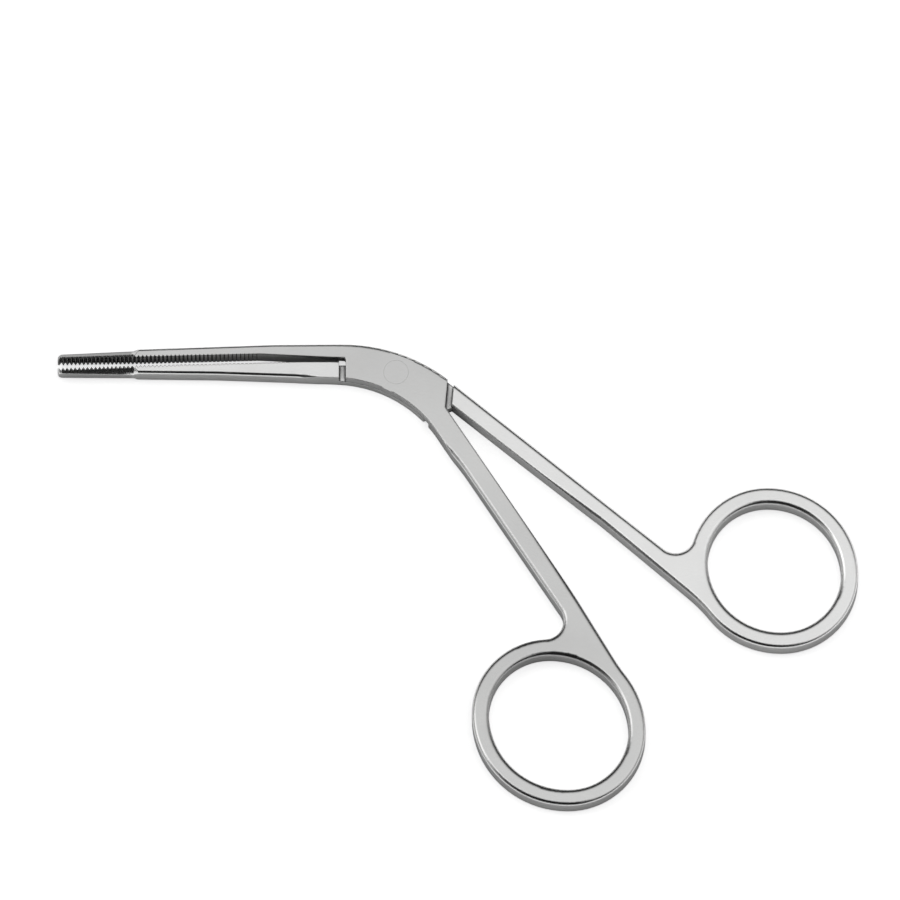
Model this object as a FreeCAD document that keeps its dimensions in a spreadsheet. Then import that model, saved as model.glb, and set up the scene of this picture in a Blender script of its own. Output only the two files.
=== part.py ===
import FreeCAD, Part
import Sketcher
import math
import os
import re

# Nasal dressing forceps, lying flat with the jaws slightly open.
# The origin is on the pivot axis in the underside plane. +X points away from the jaws,
# +Y is the side of the upper jaw and +Z is the front face.
# Lengths are in millimetres and angles in degrees. Places are measured from the pivot,
# and a place on the negative side of it is stored as a positive distance.

SIZES = {
    # Plate and joint
    "thickness": 4.4,
    "lap_gap": 0.06,
    "plate_left": 9.0,
    "shoulder_left": 10.2,
    "front_corner_x": 8.75,
    "front_corner_y": 6.4,
    "front_plate_lean": 5.25,
    "rear_corner_x": 10.0,
    "rear_corner_y": 6.05,
    "rear_shoulder_lean": 5.0,
    "rear_plate_slope": 20.3,
    "shoulder_gap": 1.3,
    # Bends between jaws and shanks
    "upper_bend_x": 1.22,
    "upper_bend_y": 5.33,
    "upper_bend_radius": 30.0,
    "lower_bend_x": 1.3,
    "lower_bend_y": 1.58,
    "lower_bend_radius": 22.5,
    "lower_bend_rough_radius": 40.0,
    "heel_allowance": 1.1,
    "lower_trim_angle": 57.6,
    # Jaws
    "jaw_length": 60.5,
    "upper_grip_tip": 2.42,
    "upper_grip_knee_x": 24.3,
    "upper_grip_knee_y": 3.43,
    "upper_grip_root": 2.68,
    "lower_grip_tip": 0.92,
    "lower_grip_knee_x": 18.0,
    "lower_grip_knee_y": 1.89,
    "lower_grip_root": 1.91,
    "upper_back_tip": 3.81,
    "upper_back_knee_x": 22.0,
    "upper_back_knee_y": 5.18,
    "lower_back_tip": 0.02,
    "lower_back_knee_x": 32.0,
    "lower_back_knee_y": 0.38,
    "lower_back_heel_x": 18.0,
    "lower_back_heel_y": 0.88,
    "lower_back_root_x": 12.5,
    "lower_back_root_y": 0.95,
    # Turned tips
    "tip_axis_offset": 0.65,
    "tip_radius": 2.06,
    "tip_end_radius": 2.29,
    "tip_nose_radius": 0.9,
    "tip_zone": 13.6,
    "tip_run_out": 1.3,
    "tip_run_out_rise": 0.8,
    # Teeth
    "tooth_pitch": 0.729,
    "tooth_depth": 0.5,
    "tooth_end_depth": 0.12,
    "tooth_half_angle": 36.0,
    "tooth_start": 0.62,
    "upper_tooth_count": 49,
    "lower_tooth_count": 57,
    # Shanks
    "front_shank_angle": 56.8,
    "front_shank_knee_x": 32.4,
    "front_shank_knee_y": 42.4,
    "front_shank_end_x": 42.6,
    "front_shank_end_y": 59.5,
    "rear_shank_angle": 39.4,
    "rear_shank_knee_x": 36.4,
    "rear_shank_knee_y": 27.5,
    "rear_shank_end_x": 57.0,
    "rear_shank_end_y": 45.3,
    # Finger rings
    "front_ring_x": 29.0,
    "front_ring_y": 65.1,
    "front_hole_length": 26.2,
    "front_hole_width": 23.5,
    "rear_ring_x": 67.5,
    "rear_ring_y": 36.4,
    "rear_hole_length": 24.8,
    "rear_hole_width": 22.8,
    "ring_band": 3.05,
    "ring_tilt": 45.0,
    "neck_radius": 3.4,
    "neck_blend_radius": 30.0,
    # Edges
    "back_edge_radius": 0.45,
    "front_edge_radius": 0.7,
    "rear_edge_radius": 0.65,
    "lower_back_edge_radius": 0.65,
    "grinding_allowance": 1.1,
    "hole_edge_radius": 0.8,
    "gap_root_radius": 0.4,
    "underside_bevel": 0.45,
    # Pivot
    "rivet_radius": 1.5,
    "rivet_head_radius": 2.2,
    "rivet_head_depth": 0.8,
    "seat_clearance": 0.02,
    "running_clearance": 0.05,
}

# A cutting outline runs this far past the metal that it cuts.
CLEAR = 12

document = FreeCAD.newDocument("nasal_dressing_forceps")
sheet = document.addObject("Spreadsheet::Sheet", "Sizes")
for row, (alias, value) in enumerate(SIZES.items(), start=1):
    sheet.set(f"A{row}", alias)
    sheet.set(f"B{row}", str(value))
    sheet.setAlias(f"B{row}", alias)
document.recompute()


def size(alias):
    """A driving dimension, read from the sheet."""
    return float(getattr(sheet, alias))


def bound(text):
    """An expression text with each alias pointed at the sheet."""
    return re.sub(r"[a-z]+(_[a-z]+)+|thickness", lambda found: f"Sizes.{found.group(0)}", text)


def new_body(label):
    """An empty body for one piece."""
    body = document.addObject("PartDesign::Body", label)
    body.Label = label
    return body


def new_sketch(body, name, plane="XY_Plane", lift=None):
    """A sketch on one of the body's origin planes, lifted along the plane's normal."""
    sketch = body.newObject("Sketcher::SketchObject", name)
    origin_plane = next(item for item in body.Origin.OriginFeatures if item.Role == plane)
    sketch.AttachmentSupport = [(origin_plane, "")]
    sketch.MapMode = "FlatFace"
    if lift:
        sketch.setExpression("AttachmentOffset.Base.z", bound(lift))
    return sketch


def lay_along(sketch, x_text, y_text, angle_text):
    """Moves the sketch's own zero to a place and turns its X axis to a direction."""
    turned = FreeCAD.Rotation(FreeCAD.Vector(0, 0, 1), 1)
    sketch.AttachmentOffset = FreeCAD.Placement(FreeCAD.Vector(), turned)
    sketch.setExpression("AttachmentOffset.Base.x", bound(x_text))
    sketch.setExpression("AttachmentOffset.Base.y", bound(y_text))
    sketch.setExpression("AttachmentOffset.Rotation.Angle", bound(angle_text))


def pin_point(sketch, line, end, x_text, y_text, start=(1, 1)):
    """Fixes one end of a sketch line at a place given by expressions."""
    for kind, text, value in (("DistanceX", x_text, start[0]), ("DistanceY", y_text, start[1])):
        index = sketch.addConstraint(Sketcher.Constraint(kind, -1, 1, line, end, float(value)))
        sketch.setExpression(f"Constraints[{index}]", bound(text))


def draw_polygon(sketch, corners):
    """A closed outline of straight lines through corners given as pairs of expressions."""
    count = len(corners)
    places = []
    for index in range(count):
        turn = 2 * math.pi * index / count
        places.append(FreeCAD.Vector(40 * math.cos(turn), 40 * math.sin(turn), 0))
    for index in range(count):
        sketch.addGeometry(Part.LineSegment(places[index], places[(index + 1) % count]), False)
    for index in range(count):
        sketch.addConstraint(Sketcher.Constraint("Coincident", index, 2, (index + 1) % count, 1))
    for index, (x_text, y_text) in enumerate(corners):
        pin_point(sketch, index, 1, x_text, y_text)
    document.recompute()


def ring_centre(ring):
    """The middle of a finger ring."""
    return FreeCAD.Vector(size(f"{ring}_ring_x"), -size(f"{ring}_ring_y"), 0)


def oval_arcs(ring, band):
    """A ring's oval as four tangent arcs that meet at 45 degrees, about its own zero."""
    long_half = size(f"{ring}_hole_length") / 2
    short_half = size(f"{ring}_hole_width") / 2
    shift = (long_half - short_half) / (2 - math.sqrt(2))
    end_radius = long_half + band - shift
    side_radius = short_half + band + shift
    up = FreeCAD.Vector(0, 0, 1)
    arcs = []
    for turn in range(4):
        middle = math.pi / 2 * turn
        radius = end_radius if turn % 2 == 0 else side_radius
        reach = shift if turn % 2 == 0 else -shift
        centre = FreeCAD.Vector(reach * math.cos(middle), reach * math.sin(middle), 0)
        circle = Part.Circle(centre, up, radius)
        arcs.append(Part.ArcOfCircle(circle, middle - math.pi / 4, middle + math.pi / 4))
    return arcs


def draw_oval(sketch, ring, band_text, band):
    """The oval as a sketch outline around the ring's middle, held by the sheet."""
    lay_along(sketch, f"{ring}_ring_x", f"-{ring}_ring_y", "-ring_tilt")
    arcs = oval_arcs(ring, band)
    long_half = f"{ring}_hole_length / 2"
    short_half = f"{ring}_hole_width / 2"
    shift = f"({long_half} - {short_half}) / (2 - sqrt(2))"
    end_radius = f"({long_half} + {band_text} - {shift})"
    side_radius = f"({short_half} + {band_text} + {shift})"
    joint_x = f"({shift} + {end_radius} * sqrt(0.5))"
    joint_y = f"{end_radius} * sqrt(0.5)"
    for arc in arcs:
        sketch.addGeometry(arc, False)
    for index in range(4):
        sketch.addConstraint(Sketcher.Constraint("Coincident", index, 2, (index + 1) % 4, 1))
    signs = (("", "-"), ("", ""), ("-", ""), ("-", "-"))
    for index, (x_sign, y_sign) in enumerate(signs):
        begin = arcs[index].StartPoint
        pin_point(sketch, index, 1, x_sign + joint_x, y_sign + joint_y, (begin.x, begin.y))
    for index, arc in enumerate(arcs):
        held = sketch.addConstraint(Sketcher.Constraint("Radius", index, arc.Radius))
        radius = end_radius if index % 2 == 0 else side_radius
        sketch.setExpression(f"Constraints[{held}]", bound(radius))
    document.recompute()


def pad(body, name, sketch):
    """The sketch pushed up through the whole thickness."""
    feature = body.newObject("PartDesign::Pad", name)
    feature.Profile = sketch
    feature.setExpression("Length", bound("thickness"))
    document.recompute()


def check_cut(body, name, before):
    """Stops the build where a cut has removed nothing."""
    if not body.Shape.Volume < before - 0.01:
        raise RuntimeError(f"{name} cuts nothing")


def cut_through(body, name, sketch):
    """A pocket through the whole thickness."""
    before = body.Shape.Volume
    feature = body.newObject("PartDesign::Pocket", name)
    feature.Profile = sketch
    feature.Type = "ThroughAll"
    feature.SideType = "Symmetric"
    document.recompute()
    check_cut(body, name, before)
    return feature


def cut_half(body, name, sketch, upwards):
    """A pocket past the middle plane by half of the lap gap."""
    before = body.Shape.Volume
    feature = body.newObject("PartDesign::Pocket", name)
    feature.Profile = sketch
    feature.Reversed = upwards
    feature.setExpression("Length", bound("(thickness + lap_gap) / 2"))
    document.recompute()
    check_cut(body, name, before)


def turn_off(body, name, sketch, axis):
    """A cut turned all the way around one of the sketch's own axes."""
    before = body.Shape.Volume
    feature = body.newObject("PartDesign::Groove", name)
    feature.Profile = sketch
    feature.ReferenceAxis = (sketch, [axis])
    feature.Angle = 360
    document.recompute()
    check_cut(body, name, before)


def upright_edge(shape, place):
    """The name of the upright edge that stands at a place."""
    for number, edge in enumerate(shape.Edges, start=1):
        if len(edge.Vertexes) != 2:
            continue
        low, high = (vertex.Point for vertex in edge.Vertexes)
        if math.hypot(low.x - high.x, low.y - high.y) > 0.001:
            continue
        if math.hypot(low.x - place.x, low.y - place.y) < 0.01:
            return f"Edge{number}"
    raise RuntimeError(f"no upright edge at {place.x:.2f}, {place.y:.2f}")


def round_upright(body, name, places, radius):
    """A fillet of one bound radius on the upright edges at the places."""
    base = body.Tip
    edges = [upright_edge(base.Shape, place) for place in places]
    feature = body.newObject("PartDesign::Fillet", name)
    feature.Base = (base, edges)
    feature.setExpression("Radius", bound(radius))
    document.recompute()


def face_edges(shape, level, wanted):
    """The edges in a level plane that a test on the edge picks out."""
    names = []
    for number, edge in enumerate(shape.Edges, start=1):
        box = edge.BoundBox
        if max(abs(box.ZMin - level), abs(box.ZMax - level)) < 0.001 and wanted(edge):
            names.append(f"Edge{number}")
    return names


def break_face_edges(body, name, wanted, radius):
    """Rounds the picked front edges by one bound radius and bevels the underside ones."""
    base = body.Tip
    feature = body.newObject("PartDesign::Fillet", name)
    feature.Base = (base, face_edges(base.Shape, size("thickness"), wanted))
    feature.setExpression("Radius", bound(radius))
    document.recompute()
    bevel = body.newObject("PartDesign::Chamfer", f"{name}_underside")
    bevel.Base = (feature, face_edges(feature.Shape, 0, wanted))
    bevel.setExpression("Size", bound("underside_bevel"))
    document.recompute()


def corner(alias):
    """A sheet corner below the pivot, as a place."""
    return FreeCAD.Vector(size(f"{alias}_x"), -size(f"{alias}_y"), 0)


def ring_crossing(ring, start, end):
    """The place where a shank wall first meets the outside of its ring."""
    oval = Part.Wire([arc.toShape() for arc in oval_arcs(ring, size("ring_band"))])
    oval.rotate(FreeCAD.Vector(), FreeCAD.Vector(0, 0, 1), -size("ring_tilt"))
    oval.translate(ring_centre(ring))
    places = [vertex.Point for vertex in Part.makeLine(start, end).section(oval).Vertexes]
    return min(places, key=lambda place: place.distanceToPoint(start))


BACK_OF_UPPER_JAW = [
    ("-jaw_length", "upper_back_tip"),
    ("-upper_back_knee_x", "upper_back_knee_y"),
    ("upper_bend_x", "upper_bend_y"),
]
BACK_OF_LOWER_JAW = [
    ("-lower_back_heel_x", "-lower_back_heel_y"),
    ("-lower_back_knee_x", "-lower_back_knee_y"),
    ("-jaw_length", "-lower_back_tip"),
]
# The blank's walls along the two bends run straight on for these lengths.
UPPER_STUB = 16
LOWER_STUB = 22
LOWER_TRIM = 24
# The end of a trim stands this far outside the wall that it runs out on.
TRIM_EXIT = 0.05
FRONT_SHANK_WALL = 65
REAR_SHANK_WALL = 75


def wall_end(bend, angle, length):
    """The end of a wall that falls to the right from a bend, as expressions."""
    sign = "-" if bend == "lower_bend" else ""
    return (
        f"{bend}_x + {length} * cos({angle} * 1deg)",
        f"{sign}{bend}_y - {length} * sin({angle} * 1deg)",
    )


def wall_end_place(bend, angle, length):
    """The same end as a place."""
    turn = math.radians(size(angle))
    y_start = -size(f"{bend}_y") if bend == "lower_bend" else size(f"{bend}_y")
    x_end = size(f"{bend}_x") + length * math.cos(turn)
    return FreeCAD.Vector(x_end, y_start - length * math.sin(turn), 0)


def bend_place(bend):
    """The sharp corner of a bend before it is rounded."""
    sign = -1 if bend == "lower_bend" else 1
    return FreeCAD.Vector(size(f"{bend}_x"), sign * size(f"{bend}_y"), 0)


def neck_places(ring, bend, wall):
    """Where the two walls of a shank meet the outside of its ring."""
    wall_place = wall_end_place(bend, f"{ring}_shank_angle", wall)
    neck = ring_crossing(ring, bend_place(bend), wall_place)
    blend = ring_crossing(ring, corner(f"{ring}_shank_knee"), corner(f"{ring}_shank_end"))
    return neck, blend


def add_ring(body, ring, bend, wall):
    """The ring blank and its two necks."""
    outside = new_sketch(body, f"{ring}_ring_outline")
    draw_oval(outside, ring, "ring_band", size("ring_band"))
    pad(body, f"{ring}_ring", outside)
    neck, blend = neck_places(ring, bend, wall)
    round_upright(body, f"{ring}_neck", [neck], "neck_radius")
    round_upright(body, f"{ring}_neck_blend", [blend], "neck_blend_radius")


def round_outline(body, name, places, radius):
    """Breaks the front and underside edges that pass through the outline's places.

    This follows the outline as far as that runs on smoothly from there.
    """
    marks = [Part.Vertex(place) for place in places]

    def touches(edge):
        flat = edge.copy()
        flat.translate(FreeCAD.Vector(0, 0, -edge.BoundBox.ZMin))
        return any(flat.distToShape(mark)[0] < 0.01 for mark in marks)

    break_face_edges(body, name, touches, radius)


def trim_lower_edge(body):
    """Grinds the plate's lower edge back through the rounded edge of the rough blank.

    The rounded edge starts below this line, so it fades out along it at both ends.
    """
    trim_end = wall_end("lower_bend", "lower_trim_angle", LOWER_TRIM)
    trim = new_sketch(body, f"{body.Label}_lower_trim_outline")
    draw_polygon(trim, [
        ("-lower_back_heel_x", f"-lower_back_heel_y - {TRIM_EXIT}"),
        ("-lower_back_root_x", "-lower_back_root_y"),
        ("lower_bend_x", "-lower_bend_y"),
        trim_end,
        ("-lower_back_heel_x", trim_end[1]),
    ])
    cut_through(body, f"{body.Label}_lower_trim", trim)
    round_upright(body, f"{body.Label}_lower_bend", [bend_place("lower_bend")], "lower_bend_radius")


def cut_finger_hole(body, ring):
    """The finger hole and its broken edges."""
    hole = new_sketch(body, f"{ring}_hole_outline")
    draw_oval(hole, ring, "0", 0)
    cut_through(body, f"{ring}_hole", hole)
    centre = ring_centre(ring)
    reach = size(f"{ring}_hole_length") / 2 + 0.1

    def in_hole(edge):
        ends = (edge.valueAt(edge.FirstParameter), edge.valueAt(edge.LastParameter))
        return all(math.hypot(end.x - centre.x, end.y - centre.y) < reach for end in ends)

    break_face_edges(body, f"{ring}_hole_edges", in_hole, "hole_edge_radius")


def turn_tip(body, jaw, sign):
    """The half-round tip, turned about an axis beside the gripping face."""
    slope = f"atan(({jaw}_grip_knee_y - {jaw}_grip_tip) / (jaw_length - {jaw}_grip_knee_x))"
    axis_y = f"{jaw}_grip_tip {sign} tip_axis_offset"
    sketch = new_sketch(body, f"{jaw}_tip_outline", lift="thickness / 2")
    lay_along(sketch, "-jaw_length", axis_y, slope)
    nose_top = size("tip_radius")
    nose = size("tip_nose_radius")
    zone = size("tip_zone")
    places = [
        (nose, nose_top),
        (zone, size("tip_end_radius")),
        (zone + size("tip_run_out"), size("tip_end_radius") + size("tip_run_out_rise")),
        (zone + size("tip_run_out"), CLEAR),
        (-1, CLEAR),
        (-1, nose_top - nose),
        (0, nose_top - nose),
    ]
    texts = [
        ("tip_nose_radius", "tip_radius"),
        ("tip_zone", "tip_end_radius"),
        ("tip_zone + tip_run_out", "tip_end_radius + tip_run_out_rise"),
        ("tip_zone + tip_run_out", f"{CLEAR}"),
        ("-1", f"{CLEAR}"),
        ("-1", "tip_radius - tip_nose_radius"),
        ("0", "tip_radius - tip_nose_radius"),
    ]
    points = [FreeCAD.Vector(x, y, 0) for x, y in places]
    for start, end in zip(points, points[1:]):
        sketch.addGeometry(Part.LineSegment(start, end), False)
    middle = FreeCAD.Vector(nose, nose_top - nose, 0)
    circle = Part.Circle(middle, FreeCAD.Vector(0, 0, 1), nose)
    arc = sketch.addGeometry(Part.ArcOfCircle(circle, math.pi / 2, math.pi), False)
    for index in range(arc - 1):
        sketch.addConstraint(Sketcher.Constraint("Coincident", index, 2, index + 1, 1))
    sketch.addConstraint(Sketcher.Constraint("Coincident", arc, 1, 0, 1))
    sketch.addConstraint(Sketcher.Constraint("Coincident", arc, 2, arc - 1, 2))
    for index, (x_text, y_text) in enumerate(texts[:-1]):
        pin_point(sketch, index, 1, x_text, y_text, places[index])
    pin_point(sketch, arc - 1, 2, *texts[-1], places[-1])
    index = sketch.addConstraint(Sketcher.Constraint("Radius", arc, nose))
    sketch.setExpression(f"Constraints[{index}]", bound("tip_nose_radius"))
    turn_off(body, f"{jaw}_tip", sketch, "H_Axis")


def cut_teeth(body, jaw, sign):
    """V grooves across the gripping face, shallower towards the pivot."""
    run = f"(jaw_length - {jaw}_grip_knee_x)"
    rise = f"({jaw}_grip_knee_y - {jaw}_grip_tip {sign} (tooth_end_depth - tooth_depth))"
    sketch = new_sketch(body, f"{jaw}_tooth_outline")
    root = f"{jaw}_grip_tip {sign} tooth_depth"
    lay_along(sketch, "-jaw_length", root, f"atan({rise} / {run})")
    away = "-" if sign == "+" else ""
    half_width = "2 * tooth_depth * tan(tooth_half_angle * 1deg)"
    draw_polygon(sketch, [
        ("tooth_start", "0"),
        (f"tooth_start - {half_width}", f"{away}2 * tooth_depth"),
        (f"tooth_start + {half_width}", f"{away}2 * tooth_depth"),
    ])
    groove = cut_through(body, f"{jaw}_tooth_groove", sketch)
    pattern = body.newObject("PartDesign::LinearPattern", f"{jaw}_teeth")
    pattern.Originals = [groove]
    pattern.Direction = (sketch, ["H_Axis"])
    pattern.Mode = "Spacing"
    pattern.setExpression("Offset", bound("tooth_pitch"))
    pattern.setExpression("Occurrences", bound(f"{jaw}_tooth_count"))
    before = body.Shape.Volume
    body.Tip = pattern
    document.recompute()
    check_cut(body, f"{jaw}_teeth", before)


def cut_rivet_seat(body, profile):
    """The pivot bore with its countersink."""
    sketch = new_sketch(body, f"{body.Label}_seat_outline", plane="XZ_Plane")
    draw_polygon(sketch, profile)
    turn_off(body, f"{body.Label}_seat", sketch, "V_Axis")


def front_half():
    """The upper jaw, the front plate of the lap and the lower shank with its ring."""
    body = new_body("front_half")
    outline = new_sketch(body, "front_blank_outline")
    draw_polygon(outline, BACK_OF_UPPER_JAW + [
        wall_end("upper_bend", "rear_shank_angle", UPPER_STUB),
        ("front_corner_x + grinding_allowance", "-front_corner_y"),
        ("front_shank_knee_x", "-front_shank_knee_y"),
        ("front_shank_end_x", "-front_shank_end_y"),
        wall_end("lower_bend", "front_shank_angle", FRONT_SHANK_WALL),
        ("lower_bend_x", "-lower_bend_y"),
        ("-jaw_length", "-lower_back_tip"),
    ])
    pad(body, "front_blank", outline)
    round_upright(body, "front_upper_bend", [bend_place("upper_bend")], "upper_bend_radius")
    round_upright(body, "front_rough_bend", [bend_place("lower_bend")], "lower_bend_rough_radius")
    add_ring(body, "front", "lower_bend", FRONT_SHANK_WALL)
    back_knee = FreeCAD.Vector(-size("upper_back_knee_x"), size("upper_back_knee_y"), 0)
    round_outline(body, "front_edges", [corner("front_shank_knee")], "front_edge_radius")
    round_outline(body, "front_back_edges", [back_knee], "back_edge_radius")
    cut_finger_hole(body, "front")

    trim_lower_edge(body)

    inner_trim = new_sketch(body, "front_inner_trim_outline")
    draw_polygon(inner_trim, [
        ("front_corner_x", "-front_corner_y"),
        (f"front_shank_knee_x + {TRIM_EXIT}", "-front_shank_knee_y"),
        (f"front_shank_knee_x + {CLEAR}", "-front_shank_knee_y"),
        (f"front_corner_x + {CLEAR}", "-front_corner_y"),
    ])
    cut_through(body, "front_inner_trim", inner_trim)

    under_jaw = new_sketch(body, "under_jaw_outline")
    draw_polygon(under_jaw, [
        (f"-jaw_length - {CLEAR}", "upper_grip_tip"),
        ("-jaw_length", "upper_grip_tip"),
        ("-upper_grip_knee_x", "upper_grip_knee_y"),
        ("-plate_left", "upper_grip_root"),
        ("-plate_left", f"-{CLEAR}"),
        (f"-jaw_length - {CLEAR}", f"-{CLEAR}"),
    ])
    cut_through(body, "under_jaw", under_jaw)
    gap_root = FreeCAD.Vector(-size("plate_left"), size("upper_grip_root"), 0)
    round_upright(body, "front_gap_root", [gap_root], "gap_root_radius")

    plate_end = new_sketch(body, "front_plate_end_outline")
    draw_polygon(plate_end, [
        ("front_corner_x", "-front_corner_y"),
        (
            f"front_corner_x + {CLEAR} * sin(front_plate_lean * 1deg)",
            f"-front_corner_y + {CLEAR} * cos(front_plate_lean * 1deg)",
        ),
        (f"front_corner_x + {CLEAR}", f"-front_corner_y + {CLEAR}"),
        (f"front_corner_x + {CLEAR}", "-front_corner_y"),
    ])
    cut_through(body, "front_plate_end", plate_end)

    # The shoulder runs beside the end of the rear plate, a small gap away from it.
    shoulder_x = "rear_corner_x + shoulder_gap * sin(rear_plate_slope * 1deg)"
    shoulder_y = "-rear_corner_y - shoulder_gap * cos(rear_plate_slope * 1deg)"
    lap = new_sketch(body, "front_lap_outline")
    draw_polygon(lap, [
        ("-shoulder_left", f"{CLEAR}"),
        ("-shoulder_left", f"-2 * {CLEAR}"),
        (
            f"{shoulder_x} - 2 * {CLEAR} * cos(rear_plate_slope * 1deg)",
            f"{shoulder_y} - 2 * {CLEAR} * sin(rear_plate_slope * 1deg)",
        ),
        (
            f"{shoulder_x} + {CLEAR} * cos(rear_plate_slope * 1deg)",
            f"{shoulder_y} + {CLEAR} * sin(rear_plate_slope * 1deg)",
        ),
        (f"{shoulder_x} + {CLEAR} * cos(rear_plate_slope * 1deg)", f"{CLEAR}"),
    ])
    cut_half(body, "front_lap", lap, True)

    cut_rivet_seat(body, [
        ("0", "thickness / 2 - 0.5"),
        ("rivet_radius + seat_clearance", "thickness / 2 - 0.5"),
        ("rivet_radius + seat_clearance", "thickness - rivet_head_depth"),
        ("rivet_head_radius + seat_clearance", "thickness"),
        ("rivet_head_radius + seat_clearance", "thickness + 1"),
        ("0", "thickness + 1"),
    ])
    turn_tip(body, "upper", "-")
    cut_teeth(body, "upper", "+")
    return body


def rear_half():
    """The lower jaw, the rear plate of the lap and the upper shank with its ring."""
    body = new_body("rear_half")
    outline = new_sketch(body, "rear_blank_outline")
    draw_polygon(outline, BACK_OF_UPPER_JAW + [
        wall_end("upper_bend", "rear_shank_angle", REAR_SHANK_WALL),
        ("rear_shank_end_x", "-rear_shank_end_y"),
        ("rear_shank_knee_x", "-rear_shank_knee_y"),
        ("rear_corner_x", "-rear_corner_y - grinding_allowance"),
        wall_end("lower_bend", "front_shank_angle", LOWER_STUB),
        ("lower_bend_x", "-lower_bend_y - heel_allowance"),
    ] + BACK_OF_LOWER_JAW)
    pad(body, "rear_blank", outline)
    round_upright(body, "rear_upper_bend", [bend_place("upper_bend")], "upper_bend_radius")
    rough_bend = bend_place("lower_bend") - FreeCAD.Vector(0, size("heel_allowance"), 0)
    round_upright(body, "rear_rough_bend", [rough_bend], "lower_bend_rough_radius")
    add_ring(body, "rear", "upper_bend", REAR_SHANK_WALL)
    back_places = []
    for station in ("knee", "heel"):
        station_x = -size(f"lower_back_{station}_x")
        back_places.append(FreeCAD.Vector(station_x, -size(f"lower_back_{station}_y"), 0))
    round_outline(body, "rear_edges", [corner("rear_shank_knee")], "rear_edge_radius")
    round_outline(body, "rear_back_edges", back_places, "lower_back_edge_radius")
    cut_finger_hole(body, "rear")
    trim_lower_edge(body)

    inner_trim = new_sketch(body, "rear_inner_trim_outline")
    draw_polygon(inner_trim, [
        ("rear_corner_x", "-rear_corner_y"),
        ("rear_corner_x", f"-rear_corner_y - 2 * {CLEAR}"),
        ("rear_shank_knee_x", f"-rear_shank_knee_y - 2 * {CLEAR}"),
        ("rear_shank_knee_x", f"-rear_shank_knee_y - {TRIM_EXIT}"),
    ])
    cut_through(body, "rear_inner_trim", inner_trim)

    over_jaw = new_sketch(body, "over_jaw_outline")
    draw_polygon(over_jaw, [
        (f"-jaw_length - {CLEAR}", "lower_grip_tip"),
        ("-jaw_length", "lower_grip_tip"),
        ("-lower_grip_knee_x", "lower_grip_knee_y"),
        ("-plate_left", "lower_grip_root"),
        ("-plate_left", f"{CLEAR}"),
        (f"-jaw_length - {CLEAR}", f"{CLEAR}"),
    ])
    cut_through(body, "over_jaw", over_jaw)

    plate_end = new_sketch(body, "rear_plate_end_outline")
    draw_polygon(plate_end, [
        ("rear_corner_x", "-rear_corner_y"),
        (
            f"rear_corner_x - 1.5 * {CLEAR} * cos(rear_plate_slope * 1deg)",
            f"-rear_corner_y - 1.5 * {CLEAR} * sin(rear_plate_slope * 1deg)",
        ),
        (f"rear_corner_x - 1.5 * {CLEAR} * cos(rear_plate_slope * 1deg)", f"-2 * {CLEAR}"),
        ("rear_corner_x", f"-2 * {CLEAR}"),
    ])
    cut_through(body, "rear_plate_end", plate_end)

    lap = new_sketch(body, "rear_lap_outline", lift="thickness")
    draw_polygon(lap, [
        ("-shoulder_left", f"{CLEAR}"),
        ("-shoulder_left", f"-{CLEAR}"),
        (f"rear_corner_x + (rear_corner_y - {CLEAR}) * tan(rear_shoulder_lean * 1deg)", f"-{CLEAR}"),
        (f"rear_corner_x + (rear_corner_y + {CLEAR}) * tan(rear_shoulder_lean * 1deg)", f"{CLEAR}"),
    ])
    cut_half(body, "rear_lap", lap, False)

    cut_rivet_seat(body, [
        ("0", "-1"),
        ("rivet_head_radius + running_clearance", "-1"),
        ("rivet_head_radius + running_clearance", "0"),
        ("rivet_radius + running_clearance", "rivet_head_depth"),
        ("rivet_radius + running_clearance", "thickness / 2 + 0.5"),
        ("0", "thickness / 2 + 0.5"),
    ])
    turn_tip(body, "lower", "+")
    cut_teeth(body, "lower", "-")
    return body


def pivot_rivet():
    """The rivet of the joint, with a conical head in each half, flush with both faces."""
    body = new_body("pivot_rivet")
    outline = new_sketch(body, "rivet_outline", plane="XZ_Plane")
    draw_polygon(outline, [
        ("0", "0"),
        ("rivet_head_radius", "0"),
        ("rivet_radius", "rivet_head_depth"),
        ("rivet_radius", "thickness - rivet_head_depth"),
        ("rivet_head_radius", "thickness"),
        ("0", "thickness"),
    ])
    turned = body.newObject("PartDesign::Revolution", "rivet")
    turned.Profile = outline
    turned.ReferenceAxis = (outline, ["V_Axis"])
    turned.Angle = 360
    document.recompute()
    return body


bodies = [front_half(), rear_half(), pivot_rivet()]
document.recompute()
for item in document.Objects:
    if "Invalid" in item.State or "Error" in item.State:
        raise RuntimeError(f"{item.Name} failed: {item.State}")
for body in bodies:
    if body.Shape.isNull() or not body.Shape.isValid() or len(body.Shape.Solids) != 1:
        raise RuntimeError(f"{body.Label} is not one valid solid")
    print(body.Label, "volume", round(body.Shape.Volume, 2))

os.makedirs("parts", exist_ok=True)
for body in bodies:
    body.Shape.exportStep(f"parts/{body.Label}.step")
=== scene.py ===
import math

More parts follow.
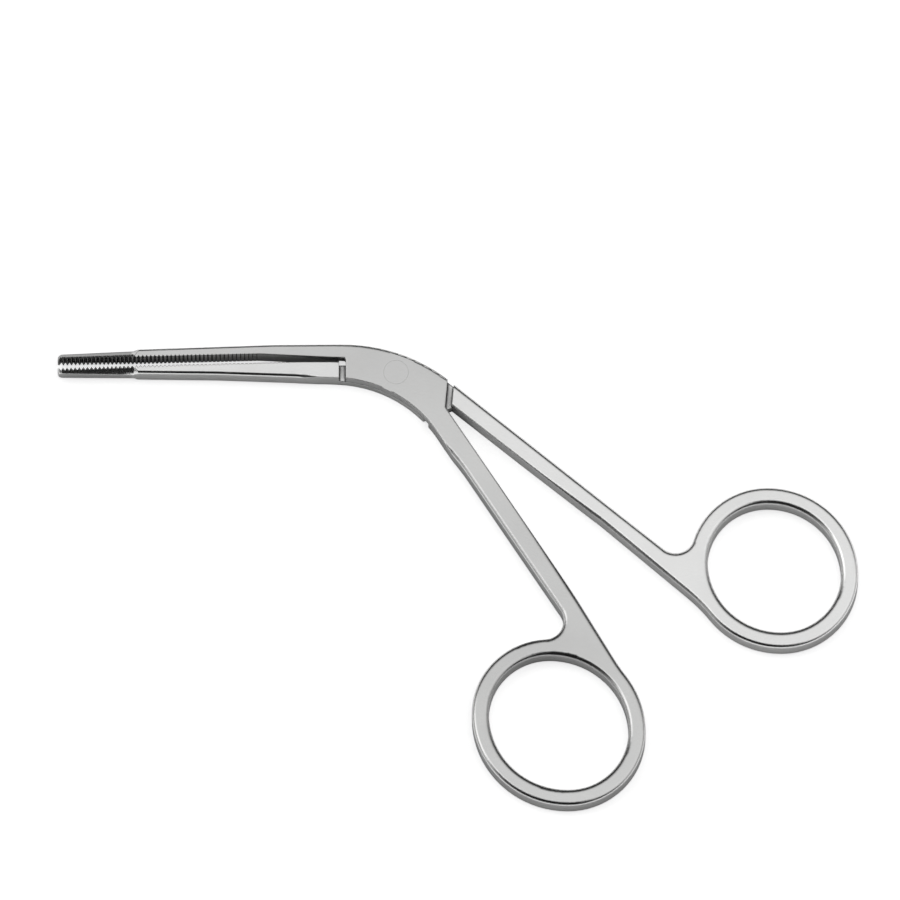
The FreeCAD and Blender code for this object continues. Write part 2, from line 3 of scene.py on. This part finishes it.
import bpy
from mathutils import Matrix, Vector


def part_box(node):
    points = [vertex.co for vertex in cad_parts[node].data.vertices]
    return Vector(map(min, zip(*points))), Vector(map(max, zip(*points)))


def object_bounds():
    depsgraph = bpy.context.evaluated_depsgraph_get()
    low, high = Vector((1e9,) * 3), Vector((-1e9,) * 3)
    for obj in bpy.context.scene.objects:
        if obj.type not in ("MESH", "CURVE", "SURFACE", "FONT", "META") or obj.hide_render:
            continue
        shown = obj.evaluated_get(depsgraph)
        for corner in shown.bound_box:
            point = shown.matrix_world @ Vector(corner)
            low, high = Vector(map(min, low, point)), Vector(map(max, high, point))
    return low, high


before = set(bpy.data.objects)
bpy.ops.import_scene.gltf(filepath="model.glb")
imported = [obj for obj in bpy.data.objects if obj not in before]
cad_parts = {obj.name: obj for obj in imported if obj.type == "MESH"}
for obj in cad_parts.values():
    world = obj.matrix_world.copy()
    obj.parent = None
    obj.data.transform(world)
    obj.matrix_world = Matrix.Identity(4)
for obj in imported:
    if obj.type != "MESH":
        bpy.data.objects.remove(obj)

cad_low, cad_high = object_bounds()

# The photograph: pixels, with the scale measured along the instrument.
PHOTO_SIDE = 900
PIXELS_PER_METRE = 5600
PIVOT_PIXEL = (396, 372)
CAMERA_ELEVATION = 73.2
CAMERA_DISTANCE = 5.0
SENSOR_WIDTH = 36.0

# The instrument's front face, in metres.
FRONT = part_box("front_half")[1].z
FLOOR_DROP = 0.0002
FLOOR_SIDE = 3.0

# The studio. The sky's share by how far a direction points along Y: it is dark in front
# and behind.
SKY_BANDS = (
    (-0.78, 0.05),
    (-0.62, 0.20),
    (-0.46, 0.85),
    (-0.36, 1.00),
    (0.32, 1.00),
    (0.46, 0.50),
    (0.60, 0.14),
    (0.74, 0.07),
)
# Its strength low on the two sides and overhead, by a direction's height.
SIDE_STRENGTH = 0.5
TOP_STRENGTH = 0.97
SIDE_HEIGHT = 0.50
TOP_HEIGHT = 0.86
# A lamp panel stands high on the left, and a dark stand hangs over the front. Each has
# a direction, an angle around it and a soft edge, in degrees.
PANEL_SIDE = (-0.50, -0.03, 0.87)
PANEL_ANGLE = 14.0
PANEL_EDGE = 14.0
PANEL_STRENGTH = 0.75
STAND_SIDE = (-0.28, -0.50, 0.82)
STAND_ANGLE = 27.0
STAND_EDGE = 6.0
STAND_STRENGTH = 0.03
# The table's own colour, and its glow as the view and the metal see it.
FLOOR_COLOUR = (0.9, 0.9, 0.9, 1.0)
FLOOR_ROUGHNESS = 0.9
FLOOR_GLOW = 0.7
# A range of openness, from 0 to 1, goes with each reach over which it is measured.
OPENNESS_SAMPLES = 8
SHADE_REACH = 0.012
SHADE_RANGE = (0.9, 1.0)
# The steels. The rear half is the paler one in the photograph.
FRONT_COLOUR = (0.61, 0.61, 0.605)
REAR_COLOUR = (0.78, 0.78, 0.775)
STEEL_ROUGHNESS = 0.2
ROUGHNESS_SPREAD = 0.03
SHEEN_RANGE = (0.3, 0.7)
# Fine and broad clouds shift the colour a little. Each has a noise scale and a detail.
FINE_CLOUDS = (180.0, 4.0)
BROAD_CLOUDS = (32.0, 1.0)
BROAD_SHARE = 0.6
TINT_RANGE = (0.35, 0.65)
TINT_DARK = 0.93
TINT_PALE = 1.08
# Painted shade: the steel's colour goes near black in narrow gaps and as a line in sharp inside
# corners.
PAINTED_SHADE_COLOUR = (0.02, 0.02, 0.02, 1.0)
GAP_REACH = 0.004
GAP_RANGE = (0.06, 0.38)
CORNER_REACH = 0.0008
CORNER_RANGE = (0.58, 0.92)
# The matt grain of the surface, and the height of all relief in metres.
GRAIN = (2600.0, 2.0)
GRAIN_STRENGTH = 0.08
RELIEF = 0.0001
# Sharp edges are softened by a radius, finer on the jaws than on the joint and shanks.
# The rivet is ground flush, so nothing is softened around it.
JAW_SOFTNESS = 0.0002
SHANK_SOFTNESS = 0.0004
JAW_END = -0.012
SHANK_START = -0.009
RIVET_REACH = 0.0037
EDGE_SAMPLES = 6
# The turned tips carry fine ribs, and painted shade darkens their colour, the front half's more
# so.
RIB_PITCH = 0.000729
RIB_STRENGTH = 0.35
FRONT_TIP_SHADE = 0.5
REAR_TIP_SHADE = 0.25
TIP_END = -0.0475
TIP_START = -0.0470


def new_material(name):
    """An empty node material with its output and a principled shader."""
    material = bpy.data.materials.new(name)
    material.use_nodes = True
    nodes = material.node_tree.nodes
    nodes.clear()
    output = nodes.new("ShaderNodeOutputMaterial")
    shader = nodes.new("ShaderNodeBsdfPrincipled")
    material.node_tree.links.new(shader.outputs["BSDF"], output.inputs["Surface"])
    return material, shader


def map_range(tree, source, low, high, to_low, to_high):
    """A smooth step of a value from one range to another."""
    node = tree.nodes.new("ShaderNodeMapRange")
    node.interpolation_type = "SMOOTHSTEP"
    node.inputs["From Min"].default_value = low
    node.inputs["From Max"].default_value = high
    node.inputs["To Min"].default_value = to_low
    node.inputs["To Max"].default_value = to_high
    tree.links.new(source, node.inputs["Value"])
    return node.outputs["Result"]


def combine(tree, operation, first, second, third=None):
    """A sum, product or function of values. Each is a socket or a number."""
    node = tree.nodes.new("ShaderNodeMath")
    node.operation = operation
    for socket, value in zip(node.inputs, (first, second, third)):
        if isinstance(value, float):
            socket.default_value = value
        elif value is not None:
            tree.links.new(value, socket)
    return node.outputs["Value"]


def openness(tree, reach, limits):
    """How clear the space within a reach of the surface is, from 0 to 1."""
    node = tree.nodes.new("ShaderNodeAmbientOcclusion")
    node.samples = OPENNESS_SAMPLES
    node.inputs["Distance"].default_value = reach
    return map_range(tree, node.outputs["AO"], *limits, 0.0, 1.0)


def noise(tree, place, size):
    """Cloudy noise fixed to the piece, from its scale and detail."""
    node = tree.nodes.new("ShaderNodeTexNoise")
    node.inputs["Scale"].default_value, node.inputs["Detail"].default_value = size
    tree.links.new(place, node.inputs["Vector"])
    return node.outputs["Fac"]


def bump(tree, height, strength, normal):
    """Shallow relief on top of a normal."""
    node = tree.nodes.new("ShaderNodeBump")
    node.inputs["Strength"].default_value = strength
    node.inputs["Distance"].default_value = RELIEF
    tree.links.new(height, node.inputs["Height"])
    tree.links.new(normal, node.inputs["Normal"])
    return node.outputs["Normal"]


def satin_steel(name, colour, tip_shade):
    """Satin stainless steel: a fine matt grain, faint clouds and softened edges, with
    painted shade in narrow gaps, in inside corners and on the ribbed tips."""
    material, shader = new_material(name)
    tree = material.node_tree
    nodes = tree.nodes
    links = tree.links
    shader.inputs["Metallic"].default_value = 1.0
    place = nodes.new("ShaderNodeTexCoord").outputs["Object"]
    spot = nodes.new("ShaderNodeSeparateXYZ")
    links.new(place, spot.inputs["Vector"])
    on_tip = map_range(tree, spot.outputs["X"], TIP_END, TIP_START, 1.0, 0.0)

    clouds = noise(tree, place, FINE_CLOUDS)
    broad = noise(tree, place, BROAD_CLOUDS)
    fine = combine(tree, "MULTIPLY", clouds, 1.0 - BROAD_SHARE)
    mixed = combine(tree, "MULTIPLY_ADD", broad, BROAD_SHARE, fine)
    tint = nodes.new("ShaderNodeValToRGB")
    ends = zip(tint.color_ramp.elements, TINT_RANGE, (TINT_DARK, TINT_PALE))
    for element, position, shift in ends:
        element.position = position
        element.color = tuple(shift * part for part in colour) + (1.0,)
    links.new(mixed, tint.inputs["Fac"])
    # Painted shade: the colour is mixed toward near black in narrow gaps, in sharp inside
    # corners and on the turned tips.
    gap_unshaded = openness(tree, GAP_REACH, GAP_RANGE)
    corner_unshaded = openness(tree, CORNER_REACH, CORNER_RANGE)
    # Painted shade on the turned tips: their colour is darkened by this share.
    bright = combine(tree, "MULTIPLY_ADD", on_tip, -tip_shade, 1.0)
    unshaded = combine(tree, "MULTIPLY", combine(tree, "MULTIPLY", gap_unshaded, corner_unshaded), bright)
    finish = nodes.new("ShaderNodeMix")
    finish.data_type = "RGBA"
    finish.inputs["A"].default_value = PAINTED_SHADE_COLOUR
    links.new(unshaded, finish.inputs["Factor"])
    links.new(tint.outputs["Color"], finish.inputs["B"])
    links.new(finish.outputs["Result"], shader.inputs["Base Color"])

    sheen = nodes.new("ShaderNodeMapRange")
    sheen.inputs["From Min"].default_value = SHEEN_RANGE[0]
    sheen.inputs["From Max"].default_value = SHEEN_RANGE[1]
    sheen.inputs["To Min"].default_value = STEEL_ROUGHNESS - ROUGHNESS_SPREAD
    sheen.inputs["To Max"].default_value = STEEL_ROUGHNESS + ROUGHNESS_SPREAD
    links.new(clouds, sheen.inputs["Value"])
    links.new(sheen.outputs["Result"], shader.inputs["Roughness"])

    off_axis = nodes.new("ShaderNodeCombineXYZ")
    links.new(spot.outputs["X"], off_axis.inputs["X"])
    links.new(spot.outputs["Y"], off_axis.inputs["Y"])
    distance = nodes.new("ShaderNodeVectorMath")
    distance.operation = "LENGTH"
    links.new(off_axis.outputs["Vector"], distance.inputs[0])
    past_rivet = combine(tree, "GREATER_THAN", distance.outputs["Value"], RIVET_REACH)
    softness = map_range(
        tree, spot.outputs["X"], JAW_END, SHANK_START, JAW_SOFTNESS, SHANK_SOFTNESS
    )
    edges = nodes.new("ShaderNodeBevel")
    edges.samples = EDGE_SAMPLES
    links.new(combine(tree, "MULTIPLY", softness, past_rivet), edges.inputs["Radius"])
    grain = bump(tree, noise(tree, place, GRAIN), GRAIN_STRENGTH, edges.outputs["Normal"])
    turns = combine(tree, "MULTIPLY", spot.outputs["X"], 2 * math.pi / RIB_PITCH)
    ribs = combine(tree, "MULTIPLY", combine(tree, "SINE", turns, None), on_tip)
    links.new(bump(tree, ribs, RIB_STRENGTH, grain), shader.inputs["Normal"])
    return material


def dress(node, material):
    """Gives a carried-over CAD piece its finish."""
    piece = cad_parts[node]
    for slot in piece.material_slots:
        slot.material = material


def add_floor():
    """The white table: a matt surface with its shadows, plus a glow that only the view
    and the metal see. In the metal it fades out close to the instrument, as a painted shadow."""
    half = FLOOR_SIDE / 2
    mesh = bpy.data.meshes.new("floor")
    corners = [(-half, -half, 0), (half, -half, 0), (half, half, 0), (-half, half, 0)]
    mesh.from_pydata(corners, [], [(0, 1, 2, 3)])
    floor = bpy.data.objects.new("floor", mesh)
    floor.location.z = cad_low.z - FLOOR_DROP
    bpy.context.collection.objects.link(floor)
    material, shader = new_material("pale_table")
    tree = material.node_tree
    shader.inputs["Base Color"].default_value = FLOOR_COLOUR
    shader.inputs["Roughness"].default_value = FLOOR_ROUGHNESS
    shader.inputs["Specular IOR Level"].default_value = 0.0
    shader.inputs["Emission Color"].default_value = (1.0, 1.0, 1.0, 1.0)

    # Painted shadow: the glow that the metal sees fades where the instrument closes in the
    # floor.
    in_metal = combine(tree, "MULTIPLY", openness(tree, SHADE_REACH, SHADE_RANGE), FLOOR_GLOW)
    path = tree.nodes.new("ShaderNodeLightPath")
    mirrored = combine(
        tree, "MAXIMUM", path.outputs["Is Glossy Ray"], path.outputs["Is Transmission Ray"]
    )
    mirrored_glow = combine(tree, "MULTIPLY", mirrored, in_metal)
    glow = combine(
        tree, "MULTIPLY_ADD", path.outputs["Is Camera Ray"], FLOOR_GLOW, mirrored_glow
    )
    tree.links.new(glow, shader.inputs["Emission Strength"])
    mesh.materials.append(material)


def way_to_camera():
    """The fixed direction from the instrument to the photographer's lens."""
    elevation = math.radians(CAMERA_ELEVATION)
    return Vector((0.0, -math.cos(elevation), math.sin(elevation)))


def patch(tree, coordinates, direction, angle, edge):
    """How far the sky's direction lies inside a round patch with a soft edge."""
    lean = tree.nodes.new("ShaderNodeVectorMath")
    lean.operation = "DOT_PRODUCT"
    lean.inputs[1].default_value = Vector(direction).normalized()
    tree.links.new(coordinates.outputs["Generated"], lean.inputs[0])
    inner = math.cos(math.radians(angle))
    outer = math.cos(math.radians(angle + edge))
    return map_range(tree, lean.outputs["Value"], outer, inner, 0.0, 1.0)


def set_world():
    """A soft studio: bright overhead and on the left, dark in front and behind."""
    world = bpy.data.worlds.new("studio")
    bpy.context.scene.world = world
    world.use_nodes = True
    tree = world.node_tree
    background = tree.nodes["Background"]
    coordinates = tree.nodes.new("ShaderNodeTexCoord")
    parts = tree.nodes.new("ShaderNodeSeparateXYZ")
    tree.links.new(coordinates.outputs["Generated"], parts.inputs["Vector"])

    share = tree.nodes.new("ShaderNodeMapRange")
    share.inputs["From Min"].default_value = -1.0
    tree.links.new(parts.outputs["Y"], share.inputs["Value"])
    bands = tree.nodes.new("ShaderNodeValToRGB")
    ramp = bands.color_ramp
    while len(ramp.elements) < len(SKY_BANDS):
        ramp.elements.new(0.5)
    for element, (reach, strength) in zip(ramp.elements, SKY_BANDS):
        element.position = (reach + 1) / 2
        element.color = (strength, strength, strength, 1.0)
    tree.links.new(share.outputs["Result"], bands.inputs["Fac"])

    height = map_range(
        tree, parts.outputs["Z"], SIDE_HEIGHT, TOP_HEIGHT, SIDE_STRENGTH, TOP_STRENGTH
    )
    panel = patch(tree, coordinates, PANEL_SIDE, PANEL_ANGLE, PANEL_EDGE)
    stand = patch(tree, coordinates, STAND_SIDE, STAND_ANGLE, STAND_EDGE)
    clear = combine(tree, "MULTIPLY_ADD", stand, STAND_STRENGTH - 1.0, 1.0)
    lit = combine(tree, "MULTIPLY_ADD", panel, PANEL_STRENGTH, height)
    banded = combine(tree, "MULTIPLY", lit, bands.outputs["Color"])
    tree.links.new(combine(tree, "MULTIPLY", banded, clear), background.inputs["Strength"])
    background.inputs["Color"].default_value = (1.0, 1.0, 1.0, 1.0)


def add_camera():
    """A long lens at the photograph's height, framed on the photograph's own pixels."""
    middle = PHOTO_SIDE / 2
    elevation = math.radians(CAMERA_ELEVATION)
    x_aim = (middle - PIVOT_PIXEL[0]) / PIXELS_PER_METRE
    y_aim = (PIVOT_PIXEL[1] - middle) / (PIXELS_PER_METRE * math.sin(elevation))
    aim = Vector((x_aim, y_aim, FRONT))
    camera = bpy.data.cameras.new("camera")
    camera.sensor_width = SENSOR_WIDTH
    view_width = PHOTO_SIDE / PIXELS_PER_METRE
    camera.lens = camera.sensor_width * CAMERA_DISTANCE / view_width
    holder = bpy.data.objects.new("camera", camera)
    holder.location = aim + way_to_camera() * CAMERA_DISTANCE
    holder.rotation_mode = "QUATERNION"
    holder.rotation_quaternion = (-way_to_camera()).to_track_quat("-Z", "Y")
    bpy.context.collection.objects.link(holder)
    bpy.context.scene.camera = holder


dress("front_half", satin_steel("front_steel", FRONT_COLOUR, FRONT_TIP_SHADE))
dress("rear_half", satin_steel("rear_steel", REAR_COLOUR, REAR_TIP_SHADE))
dress("pivot_rivet", satin_steel("rivet_steel", FRONT_COLOUR, 0.0))
add_floor()
set_world()
add_camera()
bpy.context.scene.view_settings.view_transform = "Standard"
